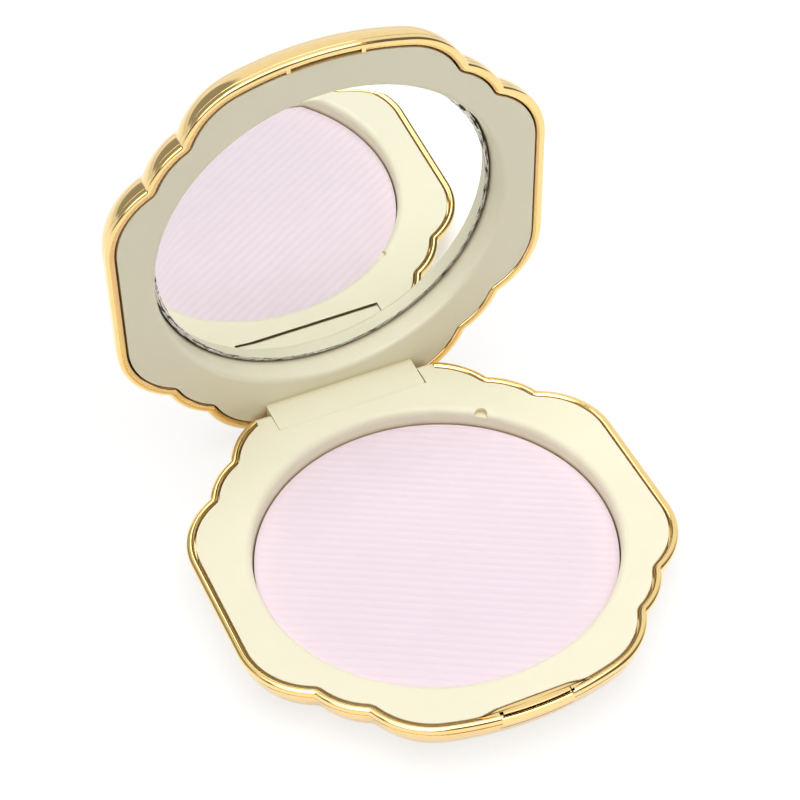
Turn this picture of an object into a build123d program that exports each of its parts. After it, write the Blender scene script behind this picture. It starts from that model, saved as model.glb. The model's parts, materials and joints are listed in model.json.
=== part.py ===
from build123d import *
import os
from math import asin, atan2, cos, degrees, radians, sin, sqrt

# Powder compact. The origin is the centre of the resting face, +Z is up, the
# hinge is at +Y and the push button at -Y. The lid stands open, as at rest.
os.makedirs("parts", exist_ok=True)

# ---------------------------------------------------------------- dimensions
# Scalloped outline of the cream trays: four large lobes and four small ones.
HALF_WIDTH = 36.0
HALF_DEPTH = 38.1
CREST_RADIUS = 50.5
CREST_TURN = 16.1
DEPTH_CORNER_RADIUS = 12.5
SIDE_CORNER_RADIUS = 12.0
SIDE_HALF_STRAIGHT = 10.3
LOBE_REACH = 36.5
LOBE_RADIUS = 11.5
NOTCH_RADIUS = 2.6
OUTSIDE_Y = -80.0
MATCH = 0.001

# Gold lip round both halves.
LIP_WIDTH = 1.55
LID_LIP_WIDTH = 1.85
LIP_HEIGHT = 1.15
LIP_GAP = 0.08
LIP_ROUND = 0.4
GROOVE_INSET = 0.45
GROOVE_END = 1.4
TRAY_GAP = 0.15

# Shells: the side is a circular arc swept round the outline, then a flat.
BASE_HEIGHT = 9.0
BASE_SIDE_RADIUS = 9.0
LID_HEIGHT = 8.0
LID_SIDE_RADIUS = 6.5
SHELL_WALL = 1.2
LID_WALL = 1.1
SIDE_INSET = 0.25
BOWL_SECTIONS = 6

# Trays.
DECK_DROP = 0.2
PLATE_END = 1.85
LID_PLATE_END = 1.65
DECK_ROUND = 0.15

# Powder well.
WELL_Y = -1.6
WELL_RADIUS = 29.75
WELL_WALL = 0.9
WELL_FLOOR = 5.8
WELL_BOTTOM = 6.35
WELL_RIM_ROUND = 1.25
WELL_CORNER_ROUND = 1.4
POWDER_DEPTH = 3.35
PAN_RADIUS = 29.5
PAN_WALL = 0.25
PAN_FLOOR = 0.3
PAN_RIM = 3.6
GLUE_RADIUS = 20.0
GLUE = 0.1
PRY_NOTCH = (18.8, 21.7)
PRY_NOTCH_RADIUS = 1.1
PRY_NOTCH_DEPTH = 0.9

# Mirror and its cup in the lid.
MIRROR_Y = -1.15
BEZEL_RADIUS = 30.3
MIRROR_SEAT_RADIUS = 30.15
MIRROR_RADIUS = 29.95
MIRROR_DEPTH = 4.36
GLASS = 1.0
SILVER = 0.1
TAPE = 0.2
TAPE_RADIUS = 27.0
MIRROR_BEVEL = 0.6
MIRROR_BEVEL_DROP = 0.25
CUP_WALL = 0.9
CUP_FLOOR = 0.6
CUP_CORNER_ROUND = 1.3
BEZEL_RIM_ROUND = 0.9

# Hinge.
HINGE_Y = 35.5
HINGE_DROP = 3.4
OPEN_ANGLE = 86.7
PIN_RADIUS = 0.8
PIN_CLEARANCE = 0.05
PIN_HALF = 15.9
KNUCKLE_HALF = 13.4
KNUCKLE_RADIUS = 3.1
KNUCKLE_ROUND = 1.0
KNUCKLE_GAP = 0.15
EAR_HALF = 16.3
EAR_RADIUS = 2.9
EAR_SHOULDER = 0.9
EAR_ROUND = 0.35
POCKET_RADIUS = 4.45
POCKET_WALL = 0.8
POCKET_CUT_HEIGHT = 17.8
WINDOW_Y = 36.5
WINDOW_DEPTH = 12.0

# Latch at the front.
LATCH_LAND = 36.9
LATCH_LAND_HALF = 6.3
LATCH_RAMP_HALF = 11.1
LATCH_RAMP_DROP = 0.9
LATCH_RAMP_ROUND = 3.0
SLOT_HALF = 6.0
SLOT_INNER = -0.15
SLOT_OUTER = 2.3
BAND_DEPTH = 6.2
SLOT_END = 3.05
BUTTON_HALF = 5.85
BUTTON_INNER = 0.4
BUTTON_PROUD = 0.05
BUTTON_TOP = 0.35
BUTTON_BOTTOM = 2.9
RAIL_HALF = 5.5
RAIL_INNER = 0.55
RAIL_OUTER = 0.95
RAIL_RISE = 0.5
BARB_OUTER = 1.1
BARB_HEIGHT = 0.22
STEM_HALF = 4.0
STEM_END = 35.7
STEM_TOP = 1.95
FLANGE_HALF = 6.9
FLANGE_OUTER = 36.5
FLANGE_INNER = 35.9
SPRING_HALF = 5.0
SPRING_LEAF = 0.2
SPRING_BOW = 1.05
RIB_HALF = 6.2
RIB_OUTER = 34.3
RIB_WIDTH = 0.8
RIB_BOTTOM = 3.2
STRIKE_HALF = 6.5
STRIKE_INNER = 0.15
STRIKE_OUTER = 1.2
STRIKE_THICK = 0.15
STRIKE_SLOT_HALF = 5.8
STRIKE_SLOT_INNER = 0.18
STRIKE_SLOT_OUTER = 1.02
POCKET_OUTER = 1.17
POCKET_DEEP = 0.7

# ------------------------------------------------------------------- planes
# Each half is drawn on its parting plane, heights counted away from it.
BASE = Plane.XY.offset(BASE_HEIGHT)
HINGE_Z = BASE_HEIGHT - HINGE_DROP
SWING = radians(OPEN_ANGLE)
LID = Plane(
    origin=(
        0,
        HINGE_Y - HINGE_Y * cos(SWING) + HINGE_DROP * sin(SWING),
        HINGE_Z + HINGE_Y * sin(SWING) + HINGE_DROP * cos(SWING),
    ),
    x_dir=(1, 0, 0),
    z_dir=(0, sin(SWING), cos(SWING)),
)
LID_SIDE = Plane(origin=LID.origin, x_dir=LID.y_dir, z_dir=LID.x_dir)


def heading(start, end):
    """Direction from one point to another, in degrees from the x axis."""
    return degrees(atan2(end.Y - start.Y, end.X - start.X))


def hollow_centre(bulge_a, radius_a, bulge_b, radius_b):
    """Centre of the notch arc that touches two neighbouring bulges from outside."""
    span = bulge_b - bulge_a
    reach_a = radius_a + NOTCH_RADIUS
    reach_b = radius_b + NOTCH_RADIUS
    along = (span.length**2 + reach_a**2 - reach_b**2) / (2 * span.length)
    outward = sqrt(reach_a**2 - along**2)
    unit = span.normalized()
    return bulge_a + unit * along + Vector(-unit.Y, unit.X) * outward


def arc(centre, radius, start, end):
    """Arc about a centre between two headings."""
    return CenterArc(centre, radius, start, end - start)


def petal_outline(grow=0.0):
    """Scalloped outline moved outwards by grow; every arc keeps its centre."""
    crest = Vector(0, HALF_DEPTH - CREST_RADIUS)
    crest_end = 90 - CREST_TURN
    corner_step = CREST_RADIUS - DEPTH_CORNER_RADIUS
    depth_corner = crest + Vector(corner_step, 0).rotate(Axis.Z, crest_end)
    lobe = Vector(LOBE_REACH - LOBE_RADIUS, 0).rotate(Axis.Z, 45)
    side_corner = Vector(HALF_WIDTH - SIDE_CORNER_RADIUS, SIDE_HALF_STRAIGHT)
    front_notch = hollow_centre(depth_corner, DEPTH_CORNER_RADIUS, lobe, LOBE_RADIUS)
    side_notch = hollow_centre(lobe, LOBE_RADIUS, side_corner, SIDE_CORNER_RADIUS)
    hollow = NOTCH_RADIUS - grow
    edge_x = HALF_WIDTH + grow
    with BuildSketch() as outline:
        with BuildLine():
            arc(crest, CREST_RADIUS + grow, 90, crest_end)
            arc(
                depth_corner,
                DEPTH_CORNER_RADIUS + grow,
                crest_end,
                heading(depth_corner, front_notch),
            )
            arc(front_notch, hollow, heading(front_notch, depth_corner), heading(front_notch, lobe))
            arc(lobe, LOBE_RADIUS + grow, heading(lobe, front_notch), heading(lobe, side_notch))
            arc(side_notch, hollow, heading(side_notch, lobe), heading(side_notch, side_corner))
            arc(side_corner, SIDE_CORNER_RADIUS + grow, heading(side_corner, side_notch), 0)
            Line((edge_x, SIDE_HALF_STRAIGHT), (edge_x, 0))
            mirror(about=Plane.YZ)
            mirror(about=Plane.XZ)
        make_face()
    return outline.sketch


def base_tray_outline(grow=0.0):
    """Petal outline whose front crest is cut back, by a gentle ramp, behind the latch."""
    land = LATCH_LAND + grow
    with BuildSketch() as outline:
        add(petal_outline(grow))
        with BuildLine():
            Polyline(
                (-LATCH_RAMP_HALF, OUTSIDE_Y),
                (-LATCH_RAMP_HALF, -land - LATCH_RAMP_DROP),
                (-LATCH_LAND_HALF, -land),
                (LATCH_LAND_HALF, -land),
                (LATCH_RAMP_HALF, -land - LATCH_RAMP_DROP),
                (LATCH_RAMP_HALF, OUTSIDE_Y),
                close=True,
            )
        make_face(mode=Mode.SUBTRACT)
        fillet(outline.vertices().group_by(Axis.Y)[0], LATCH_RAMP_ROUND)
        fillet(outline.vertices().filter_by(lambda v: abs(v.Y + land) < MATCH), LATCH_RAMP_ROUND)
    return outline.sketch


def bowl(plane, direction, lip, radius, height, wall, start):
    """Solid of a shell's outside (wall 0) or its hollow, from a start height to its flat."""
    inner_radius = radius - wall
    centre_height = height - radius
    centre_grow = lip - SIDE_INSET - sqrt(radius**2 - (GROOVE_END - centre_height) ** 2)
    first = asin((start - centre_height) / inner_radius)
    with BuildPart() as body:
        for step in range(BOWL_SECTIONS + 1):
            turn = first + (radians(90) - first) * step / BOWL_SECTIONS
            rise = centre_height + inner_radius * sin(turn)
            with BuildSketch(plane.offset(direction * rise)):
                add(petal_outline(centre_grow + inner_radius * cos(turn)))
        loft()
    return body.part


def crest_band(inner, outer, half_width):
    """Strip along the front crest between two outlines."""
    with BuildSketch() as band:
        add(petal_outline(outer))
        add(petal_outline(inner), mode=Mode.SUBTRACT)
        with Locations((0, -HALF_DEPTH)):
            Rectangle(2 * half_width, BAND_DEPTH, mode=Mode.INTERSECT)
    return band.sketch


def rounded_disc(plane, direction, radius, start, end, corner):
    """Disc between two heights with its far edge rounded."""
    with BuildPart() as disc:
        with BuildSketch(plane.offset(direction * start)):
            Circle(radius)
        extrude(amount=direction * (end - start))
        rims = disc.edges().filter_by(GeomType.CIRCLE)
        fillet(rims.sort_by(Axis(plane.origin, plane.z_dir * direction))[-1], corner)
    return disc.part


# --------------------------------------------------------------- base shell
with BuildPart() as base_shell:
    add(bowl(BASE, -1, LIP_WIDTH, BASE_SIDE_RADIUS, BASE_HEIGHT, 0, GROOVE_END))
    with BuildSketch(BASE.offset(-GROOVE_END)):
        add(petal_outline(LIP_WIDTH - GROOVE_INSET))
    extrude(amount=GROOVE_END - LIP_HEIGHT)
    with BuildSketch(BASE.offset(-LIP_HEIGHT)):
        add(petal_outline(LIP_WIDTH))
    extrude(amount=LIP_HEIGHT - LIP_GAP)
    lip_top = base_shell.faces().sort_by(Axis.Z)[-1]
    fillet(lip_top.edges(), LIP_ROUND)
    # Hollow: a straight seat for the tray, then the bowl's inside.
    with BuildSketch(BASE.offset(-PLATE_END)):
        add(base_tray_outline(TRAY_GAP))
    extrude(amount=PLATE_END, mode=Mode.SUBTRACT)
    add(
        bowl(BASE, -1, LIP_WIDTH, BASE_SIDE_RADIUS, BASE_HEIGHT, SHELL_WALL, PLATE_END),
        mode=Mode.SUBTRACT,
    )
    # Slot for the button.
    with BuildSketch(BASE.offset(-SLOT_END)):
        add(crest_band(SLOT_INNER, SLOT_OUTER, SLOT_HALF))
    extrude(amount=SLOT_END, mode=Mode.SUBTRACT)
    with BuildSketch(BASE.offset(-SLOT_END)):
        with Locations((0, -STEM_END)):
            Rectangle(
                2 * (STEM_HALF + TRAY_GAP),
                HALF_DEPTH - STEM_END,
                align=(Align.CENTER, Align.MAX),
            )
    extrude(amount=SLOT_END - PLATE_END, mode=Mode.SUBTRACT)
    # Window for the hinge ears, and the sweep of the knuckle below it.
    with BuildSketch(BASE):
        with Locations((0, WINDOW_Y)):
            Rectangle(2 * (EAR_HALF + TRAY_GAP), WINDOW_DEPTH)
    extrude(amount=-(WELL_BOTTOM + TRAY_GAP), mode=Mode.SUBTRACT)
    with BuildSketch(Plane.YZ):
        with Locations((HINGE_Y, HINGE_Z)):
            Circle(POCKET_RADIUS + TRAY_GAP)
    extrude(amount=KNUCKLE_HALF + KNUCKLE_GAP, both=True, mode=Mode.SUBTRACT)

# ---------------------------------------------------------------- base tray
with BuildPart() as base_tray:
    with BuildSketch(BASE.offset(-PLATE_END)):
        add(base_tray_outline())
    extrude(amount=PLATE_END - DECK_DROP)
    deck_edges = base_tray.faces().sort_by(Axis.Z)[-1].edges()
    fillet(deck_edges, DECK_ROUND)
    # Powder well.
    with Locations((0, WELL_Y, 0)):
        add(
            rounded_disc(
                BASE, -1, WELL_RADIUS + WELL_WALL, PLATE_END, WELL_BOTTOM, WELL_CORNER_ROUND
            )
        )
    with BuildSketch(BASE.offset(-WELL_FLOOR)):
        with Locations((0, WELL_Y)):
            Circle(WELL_RADIUS)
    extrude(amount=WELL_FLOOR, mode=Mode.SUBTRACT)
    well_rim = base_tray.edges().filter_by(GeomType.CIRCLE).filter_by(
        lambda e: abs(e.radius - WELL_RADIUS) < MATCH
    )
    fillet(well_rim.sort_by(Axis.Z)[-1], WELL_RIM_ROUND)
    with BuildSketch(BASE.offset(-DECK_DROP)):
        with Locations(PRY_NOTCH):
            Circle(PRY_NOTCH_RADIUS)
    extrude(amount=-PRY_NOTCH_DEPTH, mode=Mode.SUBTRACT)
    # Hinge housing: a quarter of a thick barrel under the deck.
    with BuildSketch(Plane.YZ):
        with Locations((HINGE_Y, HINGE_Z)):
            Circle(POCKET_RADIUS + POCKET_WALL)
        with Locations((HINGE_Y, BASE_HEIGHT - DECK_DROP)):
            Rectangle(
                POCKET_RADIUS + POCKET_WALL,
                WELL_BOTTOM - DECK_DROP,
                align=(Align.MAX, Align.MAX),
                mode=Mode.INTERSECT,
            )
    extrude(amount=EAR_HALF, both=True)
    # Ears round the ends of the pin.
    with BuildSketch(Plane.YZ) as ear:
        with Locations((HINGE_Y, HINGE_Z)):
            Circle(EAR_RADIUS)
            with Locations((EAR_SHOULDER, 0)):
                Rectangle(
                    2 * KNUCKLE_RADIUS,
                    HINGE_DROP - DECK_DROP,
                    align=(Align.MAX, Align.MIN),
                )
        shoulder = ear.vertices().group_by(Axis.Y)[-1].sort_by(Axis.X)[-1]
        fillet(shoulder, EAR_ROUND)
    extrude(amount=EAR_HALF, both=True)
    # Pocket that the knuckle turns in, open to the back.
    with BuildSketch(Plane.YZ):
        with Locations((HINGE_Y, HINGE_Z)):
            Circle(POCKET_RADIUS)
            Rectangle(
                2 * POCKET_RADIUS,
                POCKET_CUT_HEIGHT,
                align=(Align.MIN, Align.CENTER),
            )
    extrude(amount=KNUCKLE_HALF + KNUCKLE_GAP, both=True, mode=Mode.SUBTRACT)
    with BuildSketch(Plane.YZ):
        with Locations((HINGE_Y, HINGE_Z)):
            Circle(PIN_RADIUS)
    extrude(amount=PIN_HALF, both=True, mode=Mode.SUBTRACT)
    # Rib that the button spring bears on.
    with BuildSketch(BASE.offset(-PLATE_END)):
        with Locations((0, -RIB_OUTER)):
            Rectangle(2 * RIB_HALF, RIB_WIDTH, align=(Align.CENTER, Align.MIN))
    extrude(amount=-(RIB_BOTTOM - PLATE_END))

# ------------------------------------------------------- pan, powder and glue
with BuildPart() as powder_pan:
    with BuildSketch(BASE.offset(GLUE - WELL_FLOOR)):
        with Locations((0, WELL_Y)):
            Circle(PAN_RADIUS)
    extrude(amount=WELL_FLOOR - GLUE - PAN_RIM)
    with BuildSketch(BASE.offset(GLUE + PAN_FLOOR - WELL_FLOOR)):
        with Locations((0, WELL_Y)):
            Circle(PAN_RADIUS - PAN_WALL)
    extrude(amount=WELL_FLOOR, mode=Mode.SUBTRACT)

with BuildPart() as powder_cake:
    with BuildSketch(BASE.offset(GLUE + PAN_FLOOR - WELL_FLOOR)):
        with Locations((0, WELL_Y)):
            Circle(PAN_RADIUS - PAN_WALL)
    extrude(amount=WELL_FLOOR - GLUE - PAN_FLOOR - POWDER_DEPTH)

with BuildPart() as pan_adhesive:
    with BuildSketch(BASE.offset(-WELL_FLOOR)):
        with Locations((0, WELL_Y)):
            Circle(GLUE_RADIUS)
    extrude(amount=GLUE)

# ---------------------------------------------------------------- hinge pin
with BuildPart() as hinge_pin:
    with BuildSketch(Plane.YZ):
        with Locations((HINGE_Y, HINGE_Z)):
            Circle(PIN_RADIUS)
    extrude(amount=PIN_HALF, both=True)

# -------------------------------------------------------------- push button
with BuildPart() as push_button:
    # Body: its lower part follows the shell's side, its upper part the lip.
    with BuildSketch(BASE.offset(-BUTTON_BOTTOM)):
        add(crest_band(BUTTON_INNER, LIP_WIDTH, BUTTON_HALF))
    extrude(amount=BUTTON_BOTTOM - GROOVE_END)
    add(
        bowl(BASE, -1, LIP_WIDTH, BASE_SIDE_RADIUS, BASE_HEIGHT, 0, GROOVE_END),
        mode=Mode.INTERSECT,
    )
    with BuildSketch(BASE.offset(-GROOVE_END)):
        add(crest_band(BUTTON_INNER, LIP_WIDTH + BUTTON_PROUD, BUTTON_HALF))
    extrude(amount=GROOVE_END - BUTTON_TOP)
    # Catch rail with its outward barb.
    with BuildSketch(BASE.offset(-BUTTON_BOTTOM)):
        add(crest_band(RAIL_INNER, RAIL_OUTER, RAIL_HALF))
    extrude(amount=BUTTON_BOTTOM + RAIL_RISE)
    with BuildSketch(BASE.offset(RAIL_RISE - BARB_HEIGHT)):
        add(crest_band(RAIL_INNER, BARB_OUTER, RAIL_HALF))
    extrude(amount=BARB_HEIGHT)
    # Stem and the flange that stops behind the wall.
    with BuildSketch(BASE.offset(-BUTTON_BOTTOM)):
        with Locations((0, -STEM_END)):
            Rectangle(
                2 * STEM_HALF,
                HALF_DEPTH + RAIL_OUTER - STEM_END,
                align=(Align.CENTER, Align.MAX),
            )
        with Locations((0, -FLANGE_INNER)):
            Rectangle(
                2 * FLANGE_HALF,
                FLANGE_OUTER - FLANGE_INNER,
                align=(Align.CENTER, Align.MAX),
            )
    extrude(amount=BUTTON_BOTTOM - STEM_TOP)

# ------------------------------------------------------------ button spring
with BuildPart() as button_spring:
    with BuildSketch(BASE.offset(-BUTTON_BOTTOM)):
        with BuildLine():
            bow = ThreePointArc(
                (-SPRING_HALF, -RIB_OUTER - SPRING_LEAF),
                (0, -RIB_OUTER - SPRING_LEAF - SPRING_BOW),
                (SPRING_HALF, -RIB_OUTER - SPRING_LEAF),
            )
            back = ThreePointArc(
                (-SPRING_HALF, -RIB_OUTER),
                (0, -RIB_OUTER - SPRING_BOW),
                (SPRING_HALF, -RIB_OUTER),
            )
            Line(bow @ 0, back @ 0)
            Line(bow @ 1, back @ 1)
        make_face()
    extrude(amount=BUTTON_BOTTOM - STEM_TOP)

# ---------------------------------------------------------------- lid shell
with BuildPart() as lid_shell:
    add(bowl(LID, 1, LID_LIP_WIDTH, LID_SIDE_RADIUS, LID_HEIGHT, 0, GROOVE_END))
    with BuildSketch(LID.offset(LIP_HEIGHT)):
        add(petal_outline(LID_LIP_WIDTH - GROOVE_INSET))
    extrude(amount=GROOVE_END - LIP_HEIGHT)
    with BuildSketch(LID.offset(LIP_GAP)):
        add(petal_outline(LID_LIP_WIDTH))
    extrude(amount=LIP_HEIGHT - LIP_GAP)
    lip_face = lid_shell.faces().sort_by(Axis(LID.origin, LID.z_dir))[0]
    fillet(lip_face.edges(), LIP_ROUND)
    # Hollow for the tray and its mirror cup.
    with BuildSketch(LID):
        add(petal_outline(TRAY_GAP))
    extrude(amount=LID_PLATE_END, mode=Mode.SUBTRACT)
    add(
        bowl(LID, 1, LID_LIP_WIDTH, LID_SIDE_RADIUS, LID_HEIGHT, LID_WALL, LID_PLATE_END),
        mode=Mode.SUBTRACT,
    )
    # Seat of the strike plate and the pocket behind it.
    with BuildSketch(LID):
        add(crest_band(STRIKE_INNER, STRIKE_OUTER, STRIKE_HALF))
    extrude(amount=LIP_GAP + STRIKE_THICK, mode=Mode.SUBTRACT)
    with BuildSketch(LID):
        add(crest_band(STRIKE_SLOT_INNER, POCKET_OUTER, STRIKE_SLOT_HALF))
    extrude(amount=POCKET_DEEP, mode=Mode.SUBTRACT)

# -------------------------------------------------------------- catch plate
with BuildPart() as catch_plate:
    with BuildSketch(LID.offset(LIP_GAP)):
        add(crest_band(STRIKE_INNER, STRIKE_OUTER, STRIKE_HALF))
        add(
            crest_band(STRIKE_SLOT_INNER, STRIKE_SLOT_OUTER, STRIKE_SLOT_HALF),
            mode=Mode.SUBTRACT,
        )
    extrude(amount=STRIKE_THICK)

# ----------------------------------------------------------------- lid tray
GLASS_BACK = MIRROR_DEPTH + GLASS
SILVER_BACK = GLASS_BACK + SILVER
CUP_INSIDE = SILVER_BACK + TAPE
CUP_END = CUP_INSIDE + CUP_FLOOR

with BuildPart() as lid_tray:
    with BuildSketch(LID.offset(DECK_DROP)):
        add(petal_outline())
    extrude(amount=LID_PLATE_END - DECK_DROP)
    bezel_edges = lid_tray.faces().sort_by(Axis(LID.origin, LID.z_dir))[0].edges()
    fillet(bezel_edges, DECK_ROUND)
    # Cup for the mirror, with a slightly narrowing wall.
    with BuildSketch(LID.offset(LID_PLATE_END)):
        with Locations((0, MIRROR_Y)):
            Circle(MIRROR_SEAT_RADIUS + CUP_WALL)
    extrude(amount=CUP_END - LID_PLATE_END)
    cup_end = lid_tray.faces().sort_by(Axis(LID.origin, LID.z_dir))[-1]
    fillet(cup_end.edges(), CUP_CORNER_ROUND)
    with BuildSketch(LID_SIDE):
        with BuildLine():
            Polyline(
                (MIRROR_Y, 0),
                (MIRROR_Y + BEZEL_RADIUS, 0),
                (MIRROR_Y + BEZEL_RADIUS, DECK_DROP),
                (MIRROR_Y + MIRROR_SEAT_RADIUS, MIRROR_DEPTH),
                (MIRROR_Y + MIRROR_SEAT_RADIUS, CUP_INSIDE),
                (MIRROR_Y, CUP_INSIDE),
                close=True,
            )
        make_face()
    cup_axis = Axis(LID.from_local_coords((0, MIRROR_Y, 0)), LID.z_dir)
    revolve(axis=cup_axis, mode=Mode.SUBTRACT)
    bezel_rim = lid_tray.edges().filter_by(GeomType.CIRCLE).filter_by(
        lambda e: abs(e.radius - BEZEL_RADIUS) < MATCH
    )
    fillet(bezel_rim, BEZEL_RIM_ROUND)
    # Knuckle under the back of the bezel: flat front, round back.
    with BuildSketch(LID_SIDE) as knuckle:
        with Locations((HINGE_Y, -HINGE_DROP)):
            Circle(KNUCKLE_RADIUS)
            Rectangle(
                KNUCKLE_RADIUS,
                KNUCKLE_RADIUS,
                align=(Align.MAX, Align.MAX),
            )
            Rectangle(
                2 * KNUCKLE_RADIUS,
                HINGE_DROP - LIP_GAP,
                align=(Align.CENTER, Align.MIN),
            )
        with Locations((HINGE_Y - KNUCKLE_RADIUS, -HINGE_DROP)):
            Rectangle(
                KNUCKLE_RADIUS + EAR_SHOULDER / 2,
                HINGE_DROP + (DECK_DROP + LID_PLATE_END) / 2,
                align=(Align.MIN, Align.MIN),
            )
        corner = knuckle.vertices().group_by(Axis.Y)[0].sort_by(Axis.X)[0]
        fillet(corner, KNUCKLE_ROUND)
        with Locations((HINGE_Y, -HINGE_DROP)):
            Circle(PIN_RADIUS + PIN_CLEARANCE, mode=Mode.SUBTRACT)
    extrude(amount=KNUCKLE_HALF, both=True)

# ------------------------------------------------------------------- mirror
with BuildPart() as mirror_glass:
    with BuildSketch(LID_SIDE):
        with BuildLine():
            Polyline(
                (MIRROR_Y, MIRROR_DEPTH),
                (MIRROR_Y + MIRROR_RADIUS - MIRROR_BEVEL, MIRROR_DEPTH),
                (MIRROR_Y + MIRROR_RADIUS, MIRROR_DEPTH + MIRROR_BEVEL_DROP),
                (MIRROR_Y + MIRROR_RADIUS, GLASS_BACK),
                (MIRROR_Y, GLASS_BACK),
                close=True,
            )
        make_face()
    revolve(axis=cup_axis)

with BuildPart() as mirror_silver:
    with BuildSketch(LID.offset(GLASS_BACK)):
        with Locations((0, MIRROR_Y)):
            Circle(MIRROR_RADIUS)
    extrude(amount=SILVER)

with BuildPart() as mirror_tape:
    with BuildSketch(LID.offset(SILVER_BACK)):
        with Locations((0, MIRROR_Y)):
            Circle(TAPE_RADIUS)
    extrude(amount=TAPE)

# -------------------------------------------------------------------- files
base_shell.part.label = "base_shell"
export_step(base_shell.part, "parts/base_shell.step")
base_tray.part.label = "base_tray"
export_step(base_tray.part, "parts/base_tray.step")
powder_pan.part.label = "powder_pan"
export_step(powder_pan.part, "parts/powder_pan.step")
powder_cake.part.label = "powder_cake"
export_step(powder_cake.part, "parts/powder_cake.step")
pan_adhesive.part.label = "pan_adhesive"
export_step(pan_adhesive.part, "parts/pan_adhesive.step")
hinge_pin.part.label = "hinge_pin"
export_step(hinge_pin.part, "parts/hinge_pin.step")
push_button.part.label = "push_button"
export_step(push_button.part, "parts/push_button.step")
button_spring.part.label = "button_spring"
export_step(button_spring.part, "parts/button_spring.step")
lid_shell.part.label = "lid_shell"
export_step(lid_shell.part, "parts/lid_shell.step")
catch_plate.part.label = "catch_plate"
export_step(catch_plate.part, "parts/catch_plate.step")
lid_tray.part.label = "lid_tray"
export_step(lid_tray.part, "parts/lid_tray.step")
mirror_glass.part.label = "mirror_glass"
export_step(mirror_glass.part, "parts/mirror_glass.step")
mirror_silver.part.label = "mirror_silver"
export_step(mirror_silver.part, "parts/mirror_silver.step")
mirror_tape.part.label = "mirror_tape"
export_step(mirror_tape.part, "parts/mirror_tape.step")
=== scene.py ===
import json
import math
from collections import namedtuple

import bmesh
import bpy
import numpy as np
from mathutils import Matrix, Vector


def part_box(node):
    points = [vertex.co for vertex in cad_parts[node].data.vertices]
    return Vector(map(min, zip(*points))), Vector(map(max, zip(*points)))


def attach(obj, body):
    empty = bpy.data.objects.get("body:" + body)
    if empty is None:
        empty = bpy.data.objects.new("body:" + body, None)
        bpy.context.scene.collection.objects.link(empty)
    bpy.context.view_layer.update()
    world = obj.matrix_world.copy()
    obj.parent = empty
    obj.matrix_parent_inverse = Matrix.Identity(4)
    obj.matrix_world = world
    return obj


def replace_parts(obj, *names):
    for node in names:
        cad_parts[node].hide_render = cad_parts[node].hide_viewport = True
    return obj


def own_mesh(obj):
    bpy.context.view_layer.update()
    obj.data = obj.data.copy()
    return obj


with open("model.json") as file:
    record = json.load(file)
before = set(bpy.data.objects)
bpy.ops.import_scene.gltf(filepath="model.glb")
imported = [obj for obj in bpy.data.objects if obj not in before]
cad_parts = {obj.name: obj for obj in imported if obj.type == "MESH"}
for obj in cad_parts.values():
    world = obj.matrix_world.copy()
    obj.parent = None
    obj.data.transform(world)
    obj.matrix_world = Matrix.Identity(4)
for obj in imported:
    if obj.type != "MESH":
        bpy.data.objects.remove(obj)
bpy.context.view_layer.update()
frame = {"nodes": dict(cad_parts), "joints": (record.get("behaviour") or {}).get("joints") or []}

MM = 0.001
MERGE_DISTANCE = 1e-7
SHARP_ANGLE = 32
BEVEL_ANGLE = 35
BARREL_STEP = 7.5
BAR_STATIONS = 33

# ------------------------------------------------------- places taken from the frame
# Shape sizes are in millimetres and angles in degrees; place_base() and place_lid() turn
# millimetres into metres. A depth is counted from the parting plane into the shell, and a
# grow is an offset outwards from the outline.
LIP_GAP = 0.08
JOINT = {joint["name"]: joint for joint in frame["joints"]}
HINGE = np.array(JOINT["lid_hinge"]["pos_m"]) / MM
SWING = math.radians(JOINT["lid_hinge"]["range_deg"][1])
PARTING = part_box("base_shell")[1].z / MM + LIP_GAP

# ------------------------------------------------------------ outline of the compact
HALF_WIDTH = 36.0
HALF_DEPTH = 38.1
CREST_RADIUS = 50.5
CREST_TURN = 16.1
DEPTH_CORNER_RADIUS = 12.5
SIDE_CORNER_RADIUS = 12.0
SIDE_HALF_STRAIGHT = 10.3
LOBE_REACH = 36.5
LOBE_RADIUS = 11.5
NOTCH_RADIUS = 2.6


def unit(angle):
    """Unit vector at an angle in degrees."""
    return np.array([math.cos(math.radians(angle)), math.sin(math.radians(angle))])


def heading(start, end):
    """Direction from one point to another, in degrees."""
    return math.degrees(math.atan2(end[1] - start[1], end[0] - start[0]))


def notch_centre(bulge_a, radius_a, bulge_b, radius_b):
    """Centre of the hollow that touches two neighbouring bulges from outside."""
    span = bulge_b - bulge_a
    length = np.linalg.norm(span)
    reach_a = radius_a + NOTCH_RADIUS
    reach_b = radius_b + NOTCH_RADIUS
    along = (length**2 + reach_a**2 - reach_b**2) / (2 * length)
    outward = math.sqrt(reach_a**2 - along**2)
    direction = span / length
    return bulge_a + direction * along + np.array([-direction[1], direction[0]]) * outward


CREST = np.array([0, HALF_DEPTH - CREST_RADIUS])
CREST_END = 90 - CREST_TURN
DEPTH_CORNER = CREST + unit(CREST_END) * (CREST_RADIUS - DEPTH_CORNER_RADIUS)
LOBE = unit(45) * (LOBE_REACH - LOBE_RADIUS)
SIDE_CORNER = np.array([HALF_WIDTH - SIDE_CORNER_RADIUS, SIDE_HALF_STRAIGHT])
FRONT_NOTCH = notch_centre(DEPTH_CORNER, DEPTH_CORNER_RADIUS, LOBE, LOBE_RADIUS)
SIDE_NOTCH = notch_centre(LOBE, LOBE_RADIUS, SIDE_CORNER, SIDE_CORNER_RADIUS)


def arc(centre, radius, start, end, count):
    """Points along an arc, without its last one."""
    angles = np.radians(np.linspace(start, end, count, endpoint=False))
    return centre + radius * np.stack([np.cos(angles), np.sin(angles)], axis=1)


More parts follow.
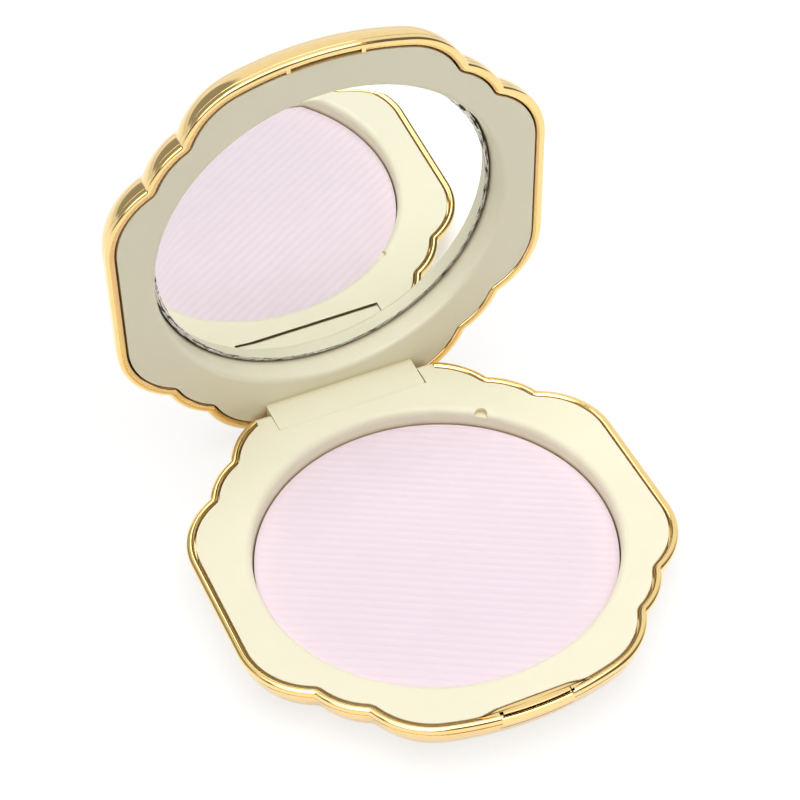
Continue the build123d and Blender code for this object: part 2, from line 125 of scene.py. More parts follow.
def petal(grow=0.0):
    """Closed scalloped outline, moved outwards by grow; every arc keeps its centre.

    The last number of each arc is its count of points.
    """
    hollow = NOTCH_RADIUS - grow
    edge = np.array([HALF_WIDTH + grow, 0])
    down = np.linspace(SIDE_HALF_STRAIGHT, 0, 7)[:-1, None]
    quarter = np.concatenate([
        arc(CREST, CREST_RADIUS + grow, 90, CREST_END, 22),
        arc(DEPTH_CORNER, DEPTH_CORNER_RADIUS + grow, CREST_END,
            heading(DEPTH_CORNER, FRONT_NOTCH), 16),
        arc(FRONT_NOTCH, hollow, heading(FRONT_NOTCH, DEPTH_CORNER),
            heading(FRONT_NOTCH, LOBE), 12),
        arc(LOBE, LOBE_RADIUS + grow, heading(LOBE, FRONT_NOTCH), heading(LOBE, SIDE_NOTCH), 22),
        arc(SIDE_NOTCH, hollow, heading(SIDE_NOTCH, LOBE), heading(SIDE_NOTCH, SIDE_CORNER), 12),
        arc(SIDE_CORNER, SIDE_CORNER_RADIUS + grow, heading(SIDE_CORNER, SIDE_NOTCH), 0, 18),
        edge * [1, 0] + down * [0, 1],
    ])
    lower = np.concatenate([edge[None], quarter[:0:-1] * [1, -1]])
    right = np.concatenate([quarter, lower])
    left = np.concatenate([[right[0] * [1, -1]], right[:0:-1] * [-1, 1]])
    return np.concatenate([right, left])


def at(ring, depth):
    """A flat ring at one depth, counted away from the parting plane."""
    return np.column_stack([ring, np.full(len(ring), depth)])


# ---------------------------------------------------------------- mesh building
def place_base(points):
    """From (x, y, depth) in the base to the frame, in metres."""
    return (points * [1, 1, -1] + [0, 0, PARTING]) * MM


def place_lid(points):
    """From (x, y, depth) in the lid to the frame, swung open about the hinge."""
    closed = points + [0, 0, PARTING] - HINGE
    sine, cosine = math.sin(SWING), math.cos(SWING)
    turned = np.column_stack([
        closed[:, 0],
        closed[:, 1] * cosine + closed[:, 2] * sine,
        closed[:, 2] * cosine - closed[:, 1] * sine,
    ])
    return (turned + HINGE) * MM


def skin(name, stations, place):
    """Closed mesh through a run of rings that all hold the same number of points."""
    count = len(stations[0])
    points = [np.asarray(station, float) for station in stations]
    faces = []
    for level in range(len(points) - 1):
        for step in range(count):
            here = level * count + step
            beside = level * count + (step + 1) % count
            faces.append((here, beside, beside + count, here + count))
    for level in (0, len(points) - 1):
        hub = len(points) * count + (level > 0)
        for step in range(count):
            faces.append((level * count + step, level * count + (step + 1) % count, hub))
    points += [points[0].mean(axis=0)[None], points[len(stations) - 1].mean(axis=0)[None]]
    return mesh_object(name, place(np.concatenate(points)), faces)


def mesh_object(name, vertices, faces):
    """A new object whose faces all point outwards, smooth except at real edges."""
    mesh = bpy.data.meshes.new(name)
    mesh.from_pydata([tuple(vertex) for vertex in vertices], [], faces)
    made = bpy.data.objects.new(name, mesh)
    bpy.context.scene.collection.objects.link(made)
    tidy_normals(made)
    return made


def tidy_normals(made):
    """Outward faces, smooth shading and sharp edges where the surface turns."""
    work = bmesh.new()
    work.from_mesh(made.data)
    bmesh.ops.remove_doubles(work, verts=work.verts, dist=MERGE_DISTANCE)
    bmesh.ops.recalc_face_normals(work, faces=work.faces)
    work.to_mesh(made.data)
    work.free()
    made.data.polygons.foreach_set("use_smooth", [True] * len(made.data.polygons))
    made.data.set_sharp_from_angle(angle=math.radians(SHARP_ANGLE))


def bake_modifiers(made):
    """Turns a mesh with its modifiers into a plain mesh with clean normals."""
    bpy.context.view_layer.update()
    evaluated = made.evaluated_get(bpy.context.evaluated_depsgraph_get())
    baked = bpy.data.meshes.new_from_object(evaluated)
    made.modifiers.clear()
    made.data = baked
    tidy_normals(made)


def combine(made, others, operation):
    """Exact booleans; where another mesh has a material, it lines its own cut."""
    for other in others:
        boolean = made.modifiers.new("combine", "BOOLEAN")
        boolean.operation = operation
        boolean.solver = "EXACT"
        boolean.material_mode = "TRANSFER" if other.data.materials else "INDEX"
        boolean.object = other
    bake_modifiers(made)
    for other in others:
        bpy.data.objects.remove(other)


def cut(made, cutters):
    """Subtracts the cutters, whose materials line the cuts, then removes them."""
    combine(made, cutters, "DIFFERENCE")


def unite(made, others):
    """Joins other closed meshes to this one, then removes them."""
    combine(made, others, "UNION")


def soften(made, width, segments):
    """Small rounded edge wherever two faces meet at an angle."""
    bevel = made.modifiers.new("soften", "BEVEL")
    bevel.width = width * MM
    bevel.segments = segments
    bevel.limit_method = "ANGLE"
    bevel.angle_limit = math.radians(BEVEL_ANGLE)
    bake_modifiers(made)


def block(name, low, high, place):
    """Closed box between two corners, used to cut."""
    (x0, y0, z0), (x1, y1, z1) = low, high
    ring = np.array([(x0, y0), (x1, y0), (x1, y1), (x0, y1)], float)
    return skin(name, [at(ring, z0), at(ring, z1)], place)


def barrel(name, centre, radius, half_length, place):
    """Closed cylinder along x, round a centre given as (y, depth)."""
    turns = np.radians(np.arange(0, 360, BARREL_STEP))
    rim = [np.array(centre) + radius * np.array([math.cos(t), math.sin(t)]) for t in turns]
    ends = [[(x, y, depth) for y, depth in rim] for x in (half_length, -half_length)]
    return skin(name, [np.array(end) for end in ends], place)


def crest_block(name, strip, place):
    """Closed strip along the front crest, between two offsets and two depths."""
    edges = []
    for grow, order in ((strip.inner, 1), (strip.outer, -1)):
        radius = CREST_RADIUS + grow
        spread = math.degrees(math.asin(strip.half_width / radius))
        angles = np.radians(np.linspace(-90 - spread, -90 + spread, 25))[::order]
        edges.append(-CREST + radius * np.stack([np.cos(angles), np.sin(angles)], axis=1))
    ring = np.concatenate(edges)
    return skin(name, [at(ring, strip.top), at(ring, strip.bottom)], place)


# ------------------------------------------------------------------ gold shells
Shell = namedtuple("Shell", "lip radius height wall seat side_inset groove_inset groove_bottom")
BASE_SHELL = Shell(1.55, 9.0, 9.0, 1.2, 1.85, 0.25, 0.45, 1.62)
LID_SHELL = Shell(1.85, 6.5, 8.0, 1.1, 1.65, 0.03, 0.06, 1.2)
LIP_INNER = 0.26
LIP_CROWN = 0.55
LIP_SQUARENESS = 2.3
GROOVE_TOP = 1.12
SOFT_EDGE = 0.06
FLAT_RINGS = (0.3, 0.6, 0.85)

LAND_HALF_WIDTH = 9.4
LAND_STRAIGHT = 5.4
LAND_BLEND = 3.8
LAND_EDGE = 36.9
LAND_OVERLAP = 0.05
LAND_REACH = 0.8
LAND_REACH_END = 0.31
LAND_TOP = 0.1
LAND_CHAMFER = 0.12

# Cutters, and boxes between two corners; a top of CLEAR stands free above the shell.
CLEAR = -1.0
Strip = namedtuple("Strip", "inner outer half_width top bottom")
BUTTON_SLOT = Strip(0.12, 3.0, 6.0, CLEAR, 3.05)
STRIKE_SLOT = Strip(0.18, 1.17, 5.8, CLEAR, 0.7)
STEM_PASSAGE = ((-4.15, -38.6, 1.86), (4.15, -37.0, 3.05))
END_RELIEF = ((5.9, -38.9, CLEAR), (6.35, -37.75, 0.8))
HINGE_WINDOW = ((-16.45, 30.5, CLEAR), (16.45, 42.5, 6.5))
POCKET_RADIUS = 4.6
POCKET_HALF_LENGTH = 13.55


def side_curve(shape, start, wall=0.0):
    """Profile of a shell's side from a start depth to its flat, as (grow, depth)."""
    centre_depth = shape.height - shape.radius
    half_chord = math.sqrt(shape.radius**2 - (shape.groove_bottom - centre_depth) ** 2)
    centre_grow = shape.lip - shape.side_inset - half_chord
    reach = shape.radius - wall
    first = math.asin((start - centre_depth) / reach)
    turns = np.linspace(first, math.radians(90), 30)
    return [(centre_grow + reach * math.cos(t), centre_depth + reach * math.sin(t)) for t in turns]


def corner_curve(grow, depth, radius, start, end, count=6):
    """Rounded corner of a profile, as (grow, depth)."""
    angles = np.radians(np.linspace(start, end, count))
    return [(grow + radius * math.cos(a), depth + radius * math.sin(a)) for a in angles]


def lip_curve(lip):
    """Crowned lip from its inner foot over the top to its outer foot."""
    middle = (LIP_INNER + lip) / 2
    half = (lip - LIP_INNER) / 2
    power = 2 / LIP_SQUARENESS
    points = []
    for a in np.radians(np.linspace(180, 0, 26)):
        across = math.copysign(abs(math.cos(a)) ** power, math.cos(a))
        points.append((middle + half * across, LIP_GAP + LIP_CROWN * (1 - math.sin(a) ** power)))
    return points


def shell_profile(shape):
    """Section of a shell: flat, side, groove, lip, seat of the tray, inside."""
    bottom = shape.groove_bottom
    outside = side_curve(shape, bottom + SOFT_EDGE)[::-1]
    edge = shape.lip - shape.side_inset - SOFT_EDGE
    shoulder = corner_curve(edge, bottom + SOFT_EDGE, SOFT_EDGE, 0, -90)[1:]
    groove = [(shape.lip - shape.groove_inset, depth) for depth in (bottom, GROOVE_TOP)]
    lip_foot = corner_curve(shape.lip - SOFT_EDGE, GROOVE_TOP - SOFT_EDGE, SOFT_EDGE, 90, 0)
    crown = lip_curve(shape.lip)[::-1]
    inside = side_curve(shape, shape.seat, shape.wall)
    return outside + shoulder + groove + lip_foot + crown + [(LIP_INNER, shape.seat)] + inside


def shell(name, shape, place):
    """Gold shell swept round the petal outline, closed across its flat."""
    stations = [at(petal(grow), depth) for grow, depth in shell_profile(shape)]
    outer_flat, inner_flat = stations[0], stations[-1]
    flat = np.array([1, 1, 0])
    first = [outer_flat * (1 - flat) + outer_flat * flat * share for share in FLAT_RINGS]
    last = [inner_flat * (1 - flat) + inner_flat * flat * share for share in FLAT_RINGS[::-1]]
    return skin(name, first + stations + last, place)


def latch_land():
    """Gold land that widens the base lip inwards where the tray is cut back for the latch."""
    inner, outer = [], []
    for x in np.linspace(-LAND_HALF_WIDTH, LAND_HALF_WIDTH, 61):
        crest = math.sqrt(CREST_RADIUS**2 - x**2) - CREST_RADIUS + HALF_DEPTH
        share = min(1.0, max(0.0, (abs(x) - LAND_STRAIGHT) / LAND_BLEND))
        blend = share * share * (3 - 2 * share)
        edge = LAND_EDGE * (1 - blend) + (crest + LAND_OVERLAP) * blend
        inner.append((x, -edge - LIP_INNER))
        outer.append((x, -crest - LAND_REACH * (1 - blend) - LAND_REACH_END * blend))
    ring = np.array(inner + outer[::-1])
    upper = ring.copy()
    upper[: len(inner), 1] -= LAND_CHAMFER
    depths = (LAND_TOP, LAND_TOP + LAND_CHAMFER, BASE_SHELL.seat)
    rings = (upper, ring, ring)
    return skin("land", [at(ring, depth) for ring, depth in zip(rings, depths)], place_base)


def make_base_shell():
    """Gold outer bowl with its lip, latch land, button slot and hinge openings."""
    made = shell("gold_base_shell", BASE_SHELL, place_base)
    unite(made, [latch_land()])
    made.data.materials.append(GOLD)
    lined = [
        crest_block("slot", BUTTON_SLOT, place_base),
        block("passage", *STEM_PASSAGE, place_base),
        block("relief", *END_RELIEF, place_base),
    ]
    # The walls of the slot, passage and relief are lined with a dark bronze material: painted shade.
    for cutter in lined:
        cutter.data.materials.append(SLOT_SHADE)
    window = block("window", *HINGE_WINDOW, place_base)
    pin = (HINGE[1], PARTING - HINGE[2])
    pocket = barrel("pocket", pin, POCKET_RADIUS, POCKET_HALF_LENGTH, place_base)
    cut(made, lined + [window, pocket])
    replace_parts(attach(made, "base"), "base_shell")


def make_lid_shell():
    """Gold outer cover, with the strike slot that takes the catch rail."""
    made = shell("gold_lid_shell", LID_SHELL, place_lid)
    cut(made, [crest_block("slot", STRIKE_SLOT, place_lid)])
    made.data.materials.append(GOLD)
    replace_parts(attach(made, "lid"), "lid_shell")


# -------------------------------------------------------------- button and spring
BUTTON_HALF_WIDTH = 5.85
BUTTON_INNER = 0.5
BUTTON_TOP = 0.4
BUTTON_BOTTOM = 2.9
BUTTON_EDGE = 0.1
CATCH_GROOVE = 0.97
CATCH_RIDGE = [
    (1.58, 1.4), (1.58, 0.5), (1.5, 0.3), (1.3, 0.22), (1.2, 0.34), (1.17, 0.9), (CATCH_GROOVE, 0.9),
]
RAIL_HALF_WIDTH = 5.5
RAIL_SECTION = [(0.55, 1.2), (0.95, 1.2), (0.95, -0.28), (1.08, -0.28), (1.08, -0.5), (0.55, -0.5)]
STEM_TOP = 1.95
BUTTON_STEM = ((-4.0, -38.0, STEM_TOP), (4.0, -35.7, BUTTON_BOTTOM))
BUTTON_FLANGE = ((-6.9, -36.5, STEM_TOP), (6.9, -35.9, BUTTON_BOTTOM))
SPRING_HALF_LENGTH = 5.0
SPRING_FOOT = 34.3
SPRING_BOW = 1.05
SPRING_THICKNESS = 0.2


def crest_bar(name, section, half_width, place):
    """Bar with one (grow, depth) section, bent along the front crest."""
    count = len(section)
    shares = np.linspace(-1, 1, BAR_STATIONS)
    stations = []
    for share in shares:
        spread = math.asin(half_width / CREST_RADIUS) * share
        for grow, depth in section:
            radius = CREST_RADIUS + grow
            stations.append((radius * math.sin(spread), -CREST[1] - radius * math.cos(spread), depth))
    faces = []
    last = len(shares) - 1
    for level in range(last):
        for step in range(count):
            here = level * count + step
            beside = level * count + (step + 1) % count
            faces.append((here, beside, beside + count, here + count))
    faces.append(tuple(range(count)))
    faces.append(tuple(range(last * count, (last + 1) * count)))
    return mesh_object(name, place(np.array(stations)), faces)


def make_button():
    """Gold push button: body with the ridged catch, rail, stem and stop flange in one."""
    side = side_curve(BASE_SHELL, BASE_SHELL.groove_bottom)
    side = [(grow, depth) for grow, depth in side if depth < BUTTON_BOTTOM]
    foot = [(BUTTON_INNER, BUTTON_TOP), (BUTTON_INNER, BUTTON_BOTTOM)]
    body = foot + side[::-1] + CATCH_RIDGE + [(CATCH_GROOVE, BUTTON_TOP)]
    made = crest_bar("gold_push_button", body, BUTTON_HALF_WIDTH, place_base)
    rail = crest_bar("rail", RAIL_SECTION, RAIL_HALF_WIDTH, place_base)
    stem = block("stem", *BUTTON_STEM, place_base)
    flange = block("flange", *BUTTON_FLANGE, place_base)
    unite(made, [rail, stem, flange])
    soften(made, BUTTON_EDGE, segments=3)
    made.data.materials.append(GOLD)
    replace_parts(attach(made, "button"), "push_button")


def make_spring():
    """Bowed leaf behind the button, made in its resting bow only; the mesh does not flatten when the
    button is pressed.
    """
    xs = np.linspace(-SPRING_HALF_LENGTH, SPRING_HALF_LENGTH, 25)
    bow = SPRING_FOOT + SPRING_BOW * (1 - (xs / SPRING_HALF_LENGTH) ** 2)
    inner = np.column_stack([xs, -bow])
    outer = np.column_stack([xs, -bow - SPRING_THICKNESS])
    ring = np.concatenate([inner, outer[::-1]])
    made = skin("button_leaf_spring", [at(ring, STEM_TOP), at(ring, BUTTON_BOTTOM)], place_base)
    made.data.materials.append(STEEL)
    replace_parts(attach(made, "base"), "button_spring")
    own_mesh(made)


# -------------------------------------------------------------- powder and mirror
WELL_Y = -1.6
POWDER_RADIUS = 29.48
POWDER_SEAT_RADIUS = 29.25
POWDER_TOP = 3.35
POWDER_BRIM = 3.58
POWDER_BOTTOM = 5.4
RIDGE_PITCH = 1.51
RIDGE_HEIGHT = 0.13
RIDGE_ANGLE = -30
RIDGE_FADE = 0.8
RIDGE_WAVE = 0.25
RIDGE_WAVE_LENGTH = 7
RIDGE_WANDER = 0.02
RIDGE_SEED = 7
RIDGE_SPAN = 0.9995
RIDGE_ROWS = 641
RIDGE_COLUMNS = 33
VALLEY_DEPTH = 0.09
MIRROR_Y = -1.15
MIRROR_POINTS = 256
BEVEL_RADIUS = 28.95
# Beyond this radius the glass's edge is painted near-black, as painted shade for the gap round it.
SHADE_RADIUS = 29.85
# Radius and depth, from the glass's face over the bevel to its back.
MIRROR_SECTION = [
    (8, 4.36), (18, 4.36), (26, 4.36), (28.9, 4.36),
    (29.0, 4.365), (29.4, 4.42), (29.8, 4.54), (29.92, 4.62), (29.95, 4.7),
    (29.95, 5.3), (29.9, 5.36), (26, 5.36), (12, 5.36),
]


def powder_rim(rows, columns):
    """Indices of the grid's outer points, once round the cake."""
    return (
        list(range(columns))
        + [row * columns + columns - 1 for row in range(1, rows)]
        + [(rows - 1) * columns + step for step in range(columns - 2, -1, -1)]
        + [row * columns for row in range(rows - 2, 0, -1)]
    )


def powder_faces(rows, columns, rim):
    """Both faces of the cake, and the stepped wall that joins their rims."""
    count = rows * columns
    faces = []
    for row in range(rows - 1):
        for step in range(columns - 1):
            here = row * columns + step
            quad = (here, here + 1, here + columns + 1, here + columns)
            faces.append(quad)
            faces.append(tuple(count + corner for corner in quad[::-1]))
    turn = len(rim)
    for spot in range(turn):
        after = (spot + 1) % turn
        brim = 2 * count
        step = brim + turn
        chain = [
            (rim[spot], rim[after]),
            (brim + spot, brim + after),
            (step + spot, step + after),
            (count + rim[spot], count + rim[after]),
        ]
        for (here, beside), (under, under_beside) in zip(chain, chain[1:]):
            faces.append((here, under, under_beside, beside))
    return faces


def make_powder():
    """Pressed cake whose face carries faint parallel ridges from the pressing cloth."""
    lines = np.linspace(-RIDGE_SPAN, RIDGE_SPAN, RIDGE_ROWS) * POWDER_RADIUS
    across = np.linspace(-1, 1, RIDGE_COLUMNS)
    along_axis = unit(RIDGE_ANGLE)
    over_axis = unit(RIDGE_ANGLE + 90)
    rng = np.random.default_rng(RIDGE_SEED)
    wander = np.cumsum(rng.normal(0, RIDGE_WANDER, len(lines)))
    shrink = POWDER_SEAT_RADIUS / POWDER_RADIUS
    upper, lower = [], []
    for line, drift in zip(lines, wander):
        chord = math.sqrt(POWDER_RADIUS**2 - line**2)
        for share in across:
            x, y = along_axis * chord * share + over_axis * line
            wave = RIDGE_WAVE * math.sin(chord * share / RIDGE_WAVE_LENGTH)
            phase = 2 * math.pi * line / RIDGE_PITCH + drift + wave
            fade = min(1.0, (POWDER_RADIUS - math.hypot(chord * share, line)) / RIDGE_FADE)
            rise = RIDGE_HEIGHT * (0.5 + 0.5 * math.sin(phase)) * fade
            upper.append((x, y + WELL_Y, POWDER_TOP - rise))
            lower.append((x * shrink, y * shrink + WELL_Y, POWDER_BOTTOM))
    brim = powder_rim(len(lines), len(across))
    brims = [(*upper[spot][:2], POWDER_BRIM) for spot in brim]
    steps = [(*lower[spot][:2], POWDER_BRIM) for spot in brim]
    faces = powder_faces(len(lines), len(across), brim)
    points = np.array(upper + lower + brims + steps)
    made = mesh_object("pressed_powder_cake", place_base(points), faces)
    made.data.materials.append(POWDER)
    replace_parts(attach(made, "base"), "powder_cake")


def make_mirror():
    """Round plate glass with a ground bevel, seen against its silvering, with a near-black ring of
    painted shade round its edge.
    """
    centre = np.array([0, MIRROR_Y])
    turns = np.radians(np.linspace(0, 360, MIRROR_POINTS, endpoint=False))
    circle = np.stack([np.cos(turns), np.sin(turns)], axis=1)
    rings = [at(centre + circle * radius, depth) for radius, depth in MIRROR_SECTION]
    made = skin("mirror_plate", rings, place_lid)
    for material in (MIRROR, MIRROR_EDGE, EDGE_SHADE):
        made.data.materials.append(material)
    ends = place_lid(np.array([[0, MIRROR_Y, 0], [0, MIRROR_Y, 1]]))
    axis_point = Vector(ends[0])
    axis = (Vector(ends[1]) - axis_point).normalized()
    for face in made.data.polygons:
        arm = face.center - axis_point
        arm -= axis * arm.dot(axis)
        # Faces beyond the shade radius get painted shade: a near-black ring for the dark gap round the
        # glass.
        if arm.length > SHADE_RADIUS * MM:
            face.material_index = 2
        elif arm.length > BEVEL_RADIUS * MM:
            face.material_index = 1
    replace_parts(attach(made, "lid"), "mirror_glass")


# ------------------------------------------------------------------ materials
STREAKS_PER_RADIAN = 13
STREAKS_PER_METRE = 3500
# Reach of the painted corner shade on the cream plastic, in metres.
CORNER_SHADE_DISTANCE = 0.0016


class Nodes:
    """A node tree, built one node at a time."""

    def __init__(self, tree):
        self.tree = tree

    def node(self, kind, inputs=None, **settings):
        made = self.tree.nodes.new(kind)
        for key, value in settings.items():
            setattr(made, key, value)
        for key, value in (inputs or {}).items():
            self.set(made.inputs[key], value)
        return made

    def set(self, socket, value):
        if isinstance(value, bpy.types.NodeSocket):
            self.tree.links.new(value, socket)
        else:
            socket.default_value = value

    def ramp(self, value, low, high, out_low, out_high, **settings):
        """Maps low..high to out_low..out_high, held at both ends."""
        inputs = {0: value, 1: low, 2: high, 3: out_low, 4: out_high}
        return self.node("ShaderNodeMapRange", inputs, **settings).outputs[0]

    def maths(self, operation, a, b):
        return self.node("ShaderNodeMath", {0: a, 1: b}, operation=operation).outputs[0]


class Shader(Nodes):
    """A material's node tree, over a Principled surface."""

    def __init__(self, name):
        self.material = bpy.data.materials.new(name)
        self.material.use_nodes = True
        super().__init__(self.material.node_tree)
        self.surface = self.tree.nodes["Principled BSDF"]
        self.place = self.node("ShaderNodeTexCoord").outputs["Object"]

    def finish(self, **inputs):
        """Sets the surface's inputs; underscores in a name stand for spaces."""
        for key, value in inputs.items():
            self.set(self.surface.inputs[key.replace("_", " ")], value)
        return self.material

    def noise(self, scale, detail=3.0, roughness=0.5, where=None):
        inputs = {"Vector": where or self.place, "Scale": scale, "Detail": detail, "Roughness": roughness}
        return self.node("ShaderNodeTexNoise", inputs).outputs["Fac"]

    def mix(self, factor, a, b):
        return self.node("ShaderNodeMix", {"Factor": factor, 6: a, 7: b}, data_type="RGBA").outputs[2]

    def bump(self, height, distance):
        return self.node("ShaderNodeBump", {"Height": height, "Distance": distance}).outputs["Normal"]


def gold_material():
    """Electroplated plastic: a mirror-like gold film over faint moulding waviness."""
    s = Shader("gold_plating")
    waves = s.noise(90, detail=2)
    haze = s.noise(700, detail=4)
    colour = s.mix(s.ramp(haze, 0.3, 0.7, 0, 1), (0.88, 0.64, 0.27, 1), (0.85, 0.61, 0.25, 1))
    return s.finish(
        Base_Color=colour,
        Metallic=1.0,
        Roughness=s.ramp(haze, 0.35, 0.7, 0.09, 0.14),
        Coat_Weight=0.6,
        Coat_Roughness=0.06,
        Normal=s.bump(waves, 0.00008),
    )


def cream_material():
    """Injection-moulded ivory plastic with a satin skin, and tan painted shade deep in corners and gaps.
    """
    s = Shader("cream_plastic")
    flow = s.noise(60, detail=4)
    grain = s.noise(2500, detail=2)
    ivory = s.mix(s.ramp(flow, 0.35, 0.65, 0, 1), (0.91, 0.865, 0.655, 1), (0.93, 0.885, 0.675, 1))
    # Painted shade: ambient occlusion tints corners and gaps tan, standing in for the shade that falls
    # there.
    open_sky = s.node("ShaderNodeAmbientOcclusion", {"Distance": CORNER_SHADE_DISTANCE}, samples=8).outputs["AO"]
    colour = s.mix(s.ramp(open_sky, 0.25, 0.8, 0, 1), (0.68, 0.54, 0.30, 1), ivory)
    return s.finish(
        Base_Color=colour,
        Roughness=s.ramp(flow, 0.3, 0.7, 0.30, 0.38),
        Specular_IOR_Level=0.45,
        Normal=s.bump(grain, 0.000004),
    )


def powder_material():
    """Pressed lilac-pink powder: dull and fine-grained, with painted shade between the ridges."""
    s = Shader("pressed_powder")
    grain = s.noise(6000, detail=3)
    cloud = s.noise(120, detail=2)
    crest = s.mix(s.ramp(cloud, 0.3, 0.7, 0, 1), (0.87, 0.745, 0.815, 1), (0.89, 0.765, 0.835, 1))
    # Painted shade: the powder turns darker towards the valleys between the ridges, standing in for their
    # shading.
    valley = (PARTING - POWDER_TOP) * MM
    height = s.node("ShaderNodeSeparateXYZ", {0: s.place}).outputs["Z"]
    valley_shade = s.ramp(height, valley, valley + VALLEY_DEPTH * MM, 0, 1)
    return s.finish(
        Base_Color=s.mix(valley_shade, (0.856, 0.725, 0.8, 1), crest),
        Roughness=0.9,
        Specular_IOR_Level=0.2,
        Normal=s.bump(grain, 0.00001),
    )


def mirror_material():
    """Silvered glass seen from the front."""
    s = Shader("mirror")
    haze = s.noise(400, detail=3)
    return s.finish(
        Base_Color=(0.92, 0.94, 0.93, 1),
        Metallic=1.0,
        Roughness=s.ramp(haze, 0.4, 0.8, 0.0, 0.02),
    )


def mirror_edge_material():
    """Silvering crumpled along the ground edge of the glass, in streaks that follow the rim."""
    s = Shader("mirror_edge")
    centre = Vector(place_lid(np.array([[0, MIRROR_Y, 0]]))[0])
    arm = s.node("ShaderNodeVectorMath", {0: s.place, 1: centre}, operation="SUBTRACT").outputs[0]
    split = s.node("ShaderNodeSeparateXYZ", {0: arm}).outputs
    along = s.maths("MULTIPLY", s.maths("ARCTAN2", split["Z"], split["X"]), STREAKS_PER_RADIAN)
    reach = s.node("ShaderNodeVectorMath", {0: arm}, operation="LENGTH").outputs["Value"]
    across = s.maths("MULTIPLY", reach, STREAKS_PER_METRE)
    rim = s.node("ShaderNodeCombineXYZ", {"X": along, "Y": across}).outputs[0]
    crumple = s.noise(1.0, detail=4, roughness=0.6, where=rim)
    silver = s.mix(s.ramp(crumple, 0.43, 0.51, 0, 1), (0.05, 0.05, 0.06, 1), (0.92, 0.94, 0.97, 1))
    return s.finish(
        Base_Color=silver,
        Metallic=1.0,
        Roughness=0.2,
        Normal=s.bump(crumple, 0.0003),
    )


def metal_material(name, colour, roughness):
    """Bare metal with a fine drawn grain."""
    s = Shader(name)
    grain = s.noise(1500, detail=4)
    return s.finish(
        Base_Color=colour,
        Metallic=1.0,
        Roughness=s.ramp(grain, 0.3, 0.7, roughness, roughness + 0.12),
        Normal=s.bump(grain, 0.000005),
    )


def tape_material():
    """Dull pale adhesive, under the pan and behind the mirror."""
    s = Shader("adhesive")
    grain = s.noise(900, detail=4)
    colour = s.mix(grain, (0.75, 0.75, 0.72, 1), (0.85, 0.85, 0.82, 1))
    return s.finish(Base_Color=colour, Roughness=0.6, Normal=s.bump(grain, 0.00002))


GOLD = gold_material()
CREAM = cream_material()
POWDER = powder_material()
MIRROR = mirror_material()
MIRROR_EDGE = mirror_edge_material()
STEEL = metal_material("steel", (0.62, 0.62, 0.61, 1), 0.25)
ALUMINIUM = metal_material("pan_metal", (0.80, 0.80, 0.79, 1), 0.3)
# Near-black painted shade for the gap round the mirror.
EDGE_SHADE = metal_material("painted_edge_shade", (0.03, 0.03, 0.035, 1), 0.4)
# Dark bronze painted shade for the walls cut round the button.
SLOT_SHADE = metal_material("slot_shadow", (0.16, 0.10, 0.05, 1), 0.45)
BRASS = metal_material("gold_metal", (0.90, 0.66, 0.32, 1), 0.15)
TAPE = tape_material()

FINISH = {
    "base_shell": GOLD,
    "lid_shell": GOLD,
    "push_button": GOLD,
    "catch_plate": BRASS,
    "base_tray": CREAM,
    "lid_tray": CREAM,
    "powder_cake": POWDER,
    "powder_pan": ALUMINIUM,
    "pan_adhesive": TAPE,
    "mirror_tape": TAPE,
    "mirror_glass": MIRROR,
    "mirror_silver": MIRROR,
    "hinge_pin": STEEL,
    "button_spring": STEEL,
}
for name, node in frame["nodes"].items():
    node.data.materials.clear()
    node.data.materials.append(FINISH[name])
make_base_shell()
make_lid_shell()
make_button()
make_spring()
make_powder()
make_mirror()


# --------------------------------------------------------------- stage, light
FRONT_LEVEL = 0.16
BACK_LEVEL = 0.5
SHINE_LEVEL = 0.55
SPARK_LEVEL = 2.4
SPARK_DIRECTION = (-0.55, -0.50, 0.67)
SPARK_INNER = 0.91
SPARK_OUTER = 0.87
FLAG_LEVEL = 0.34
FLAG_DIRECTION = (-0.55, 0.67, 0.5)
FLAG_INNER = 0.9
FLAG_OUTER = 0.87
HORIZON_FRONT = -0.2
HORIZON_BACK = 0.4
WHITE = (1, 1, 1, 1)
FLOOR_SIZE = 6
FLOOR_SHADE = 0.35
FLOOR_GLOW = 0.76
FLOOR_REFLECTED = 0.4
TOP_POWER = 13.4
FRONT_POWER = 0.9

# Camera, fitted to the photograph: metres, degrees and millimetres of lens.
CAMERA_TARGET = (0.00773, 0.03041, 0.0088)
CAMERA_DISTANCE = 0.42471
CAMERA_TURN = 21.894
CAMERA_TILT = 44.122
CAMERA_ROLL = -2.577
CAMERA_LENS = 112.4


def make_floor():
    """White paper that glows a little for the camera, so that shadows stay faint."""
    bpy.ops.mesh.primitive_plane_add(size=FLOOR_SIZE)
    floor = bpy.context.object
    floor.name = "floor"
    s = Shader("floor")
    path = s.node("ShaderNodeLightPath").outputs
    seen = path["Is Camera Ray"]
    mirrored = path["Is Glossy Ray"]
    fibre = s.ramp(s.noise(40), 0, 1, 0.78, 0.80)
    s.finish(
        Base_Color=s.maths("MULTIPLY", fibre, s.ramp(seen, 0, 1, 1.0, FLOOR_SHADE)),
        Roughness=0.8,
        Specular_IOR_Level=0.0,
        Emission_Color=WHITE,
        Emission_Strength=s.maths(
            "MAXIMUM",
            s.ramp(seen, 0, 1, 0, FLOOR_GLOW),
            s.ramp(mirrored, 0, 1, 0, FLOOR_REFLECTED),
        ),
    )
    floor.data.materials.append(s.material)


def area_light(name, position, target, size, power):
    """White square light that looks at a target; everything in metres and watts."""
    light = bpy.data.lights.new(name, "AREA")
    light.shape = "RECTANGLE"
    light.size = size
    light.size_y = size
    light.energy = power
    made = bpy.data.objects.new(name, light)
    made.location = position
    made.rotation_euler = (Vector(target) - Vector(position)).to_track_quat("-Z", "Y").to_euler()
    bpy.context.scene.collection.objects.link(made)


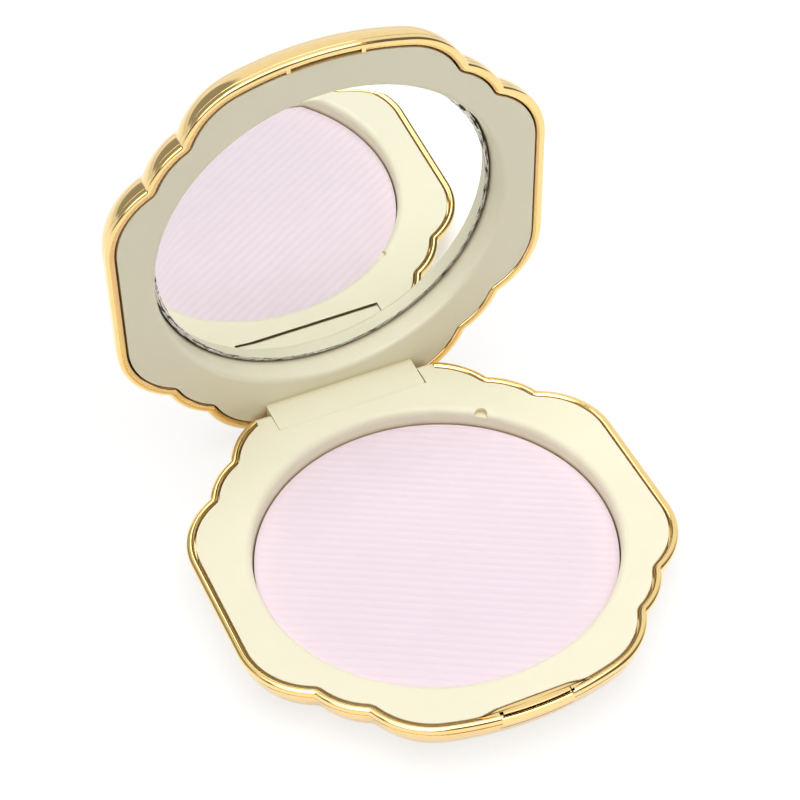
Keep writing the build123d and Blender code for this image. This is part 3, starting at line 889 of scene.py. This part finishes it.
def make_world():
    """Studio: bright behind the object, dimmer in front, one spark and one dark flag at the left."""
    world = bpy.data.worlds.new("studio")
    bpy.context.scene.world = world
    world.use_nodes = True
    tree = Nodes(world.node_tree)
    background = world.node_tree.nodes["Background"]
    background.inputs["Color"].default_value = WHITE
    direction = tree.node("ShaderNodeTexCoord").outputs["Generated"]
    depthwise = tree.node("ShaderNodeSeparateXYZ", {0: direction}).outputs["Y"]
    path = tree.node("ShaderNodeLightPath").outputs

    def fade(value, low, high, out_low, out_high):
        return tree.ramp(value, low, high, out_low, out_high, interpolation_type="SMOOTHSTEP")

    def towards(aim):
        aim = Vector(aim).normalized()
        dot = tree.node("ShaderNodeVectorMath", {0: direction, 1: aim}, operation="DOT_PRODUCT")
        return dot.outputs["Value"]

    soft = fade(depthwise, HORIZON_FRONT, HORIZON_BACK, FRONT_LEVEL, BACK_LEVEL)
    shine = fade(depthwise, HORIZON_FRONT, HORIZON_BACK, 0.0, SHINE_LEVEL)
    flag = fade(towards(FLAG_DIRECTION), FLAG_OUTER, FLAG_INNER, 1.0, FLAG_LEVEL)
    spark = fade(towards(SPARK_DIRECTION), SPARK_OUTER, SPARK_INNER, 0.0, SPARK_LEVEL)
    mirrored = tree.maths("MULTIPLY", tree.maths("ADD", shine, spark), path["Is Glossy Ray"])
    level = tree.maths("MULTIPLY", tree.maths("ADD", soft, mirrored), flag)
    tree.set(background.inputs["Strength"], tree.maths("MAXIMUM", level, path["Is Camera Ray"]))


def make_camera():
    """Camera in front, left of and above the open compact, slightly rolled."""
    data = bpy.data.cameras.new("camera")
    data.sensor_width = 36
    data.lens = CAMERA_LENS
    data.clip_start = 0.01
    data.clip_end = 10
    camera = bpy.data.objects.new("camera", data)
    bpy.context.scene.collection.objects.link(camera)
    turn = math.radians(CAMERA_TURN)
    tilt = math.radians(CAMERA_TILT)
    roll = math.radians(CAMERA_ROLL)
    level = Vector((math.sin(turn), math.cos(turn), 0))
    forward = level * math.cos(tilt) - Vector((0, 0, math.sin(tilt)))
    right = forward.cross(Vector((0, 0, 1))).normalized()
    up = right.cross(forward)
    camera_x = right * math.cos(roll) + up * math.sin(roll)
    camera_y = up * math.cos(roll) - right * math.sin(roll)
    rotation = Matrix((camera_x, camera_y, -forward)).transposed()
    place = Vector(CAMERA_TARGET) - forward * CAMERA_DISTANCE
    camera.matrix_world = Matrix.Translation(place) @ rotation.to_4x4()
    bpy.context.scene.camera = camera


make_floor()
make_world()
area_light("top", (0.0, -0.15, 1.2), (0, -0.1, 0), 1.2, TOP_POWER)
area_light("front", (0.30, -0.75, 0.75), (0, 0, 0.02), 0.36, FRONT_POWER)
make_camera()
bpy.context.scene.view_settings.view_transform = "Standard"
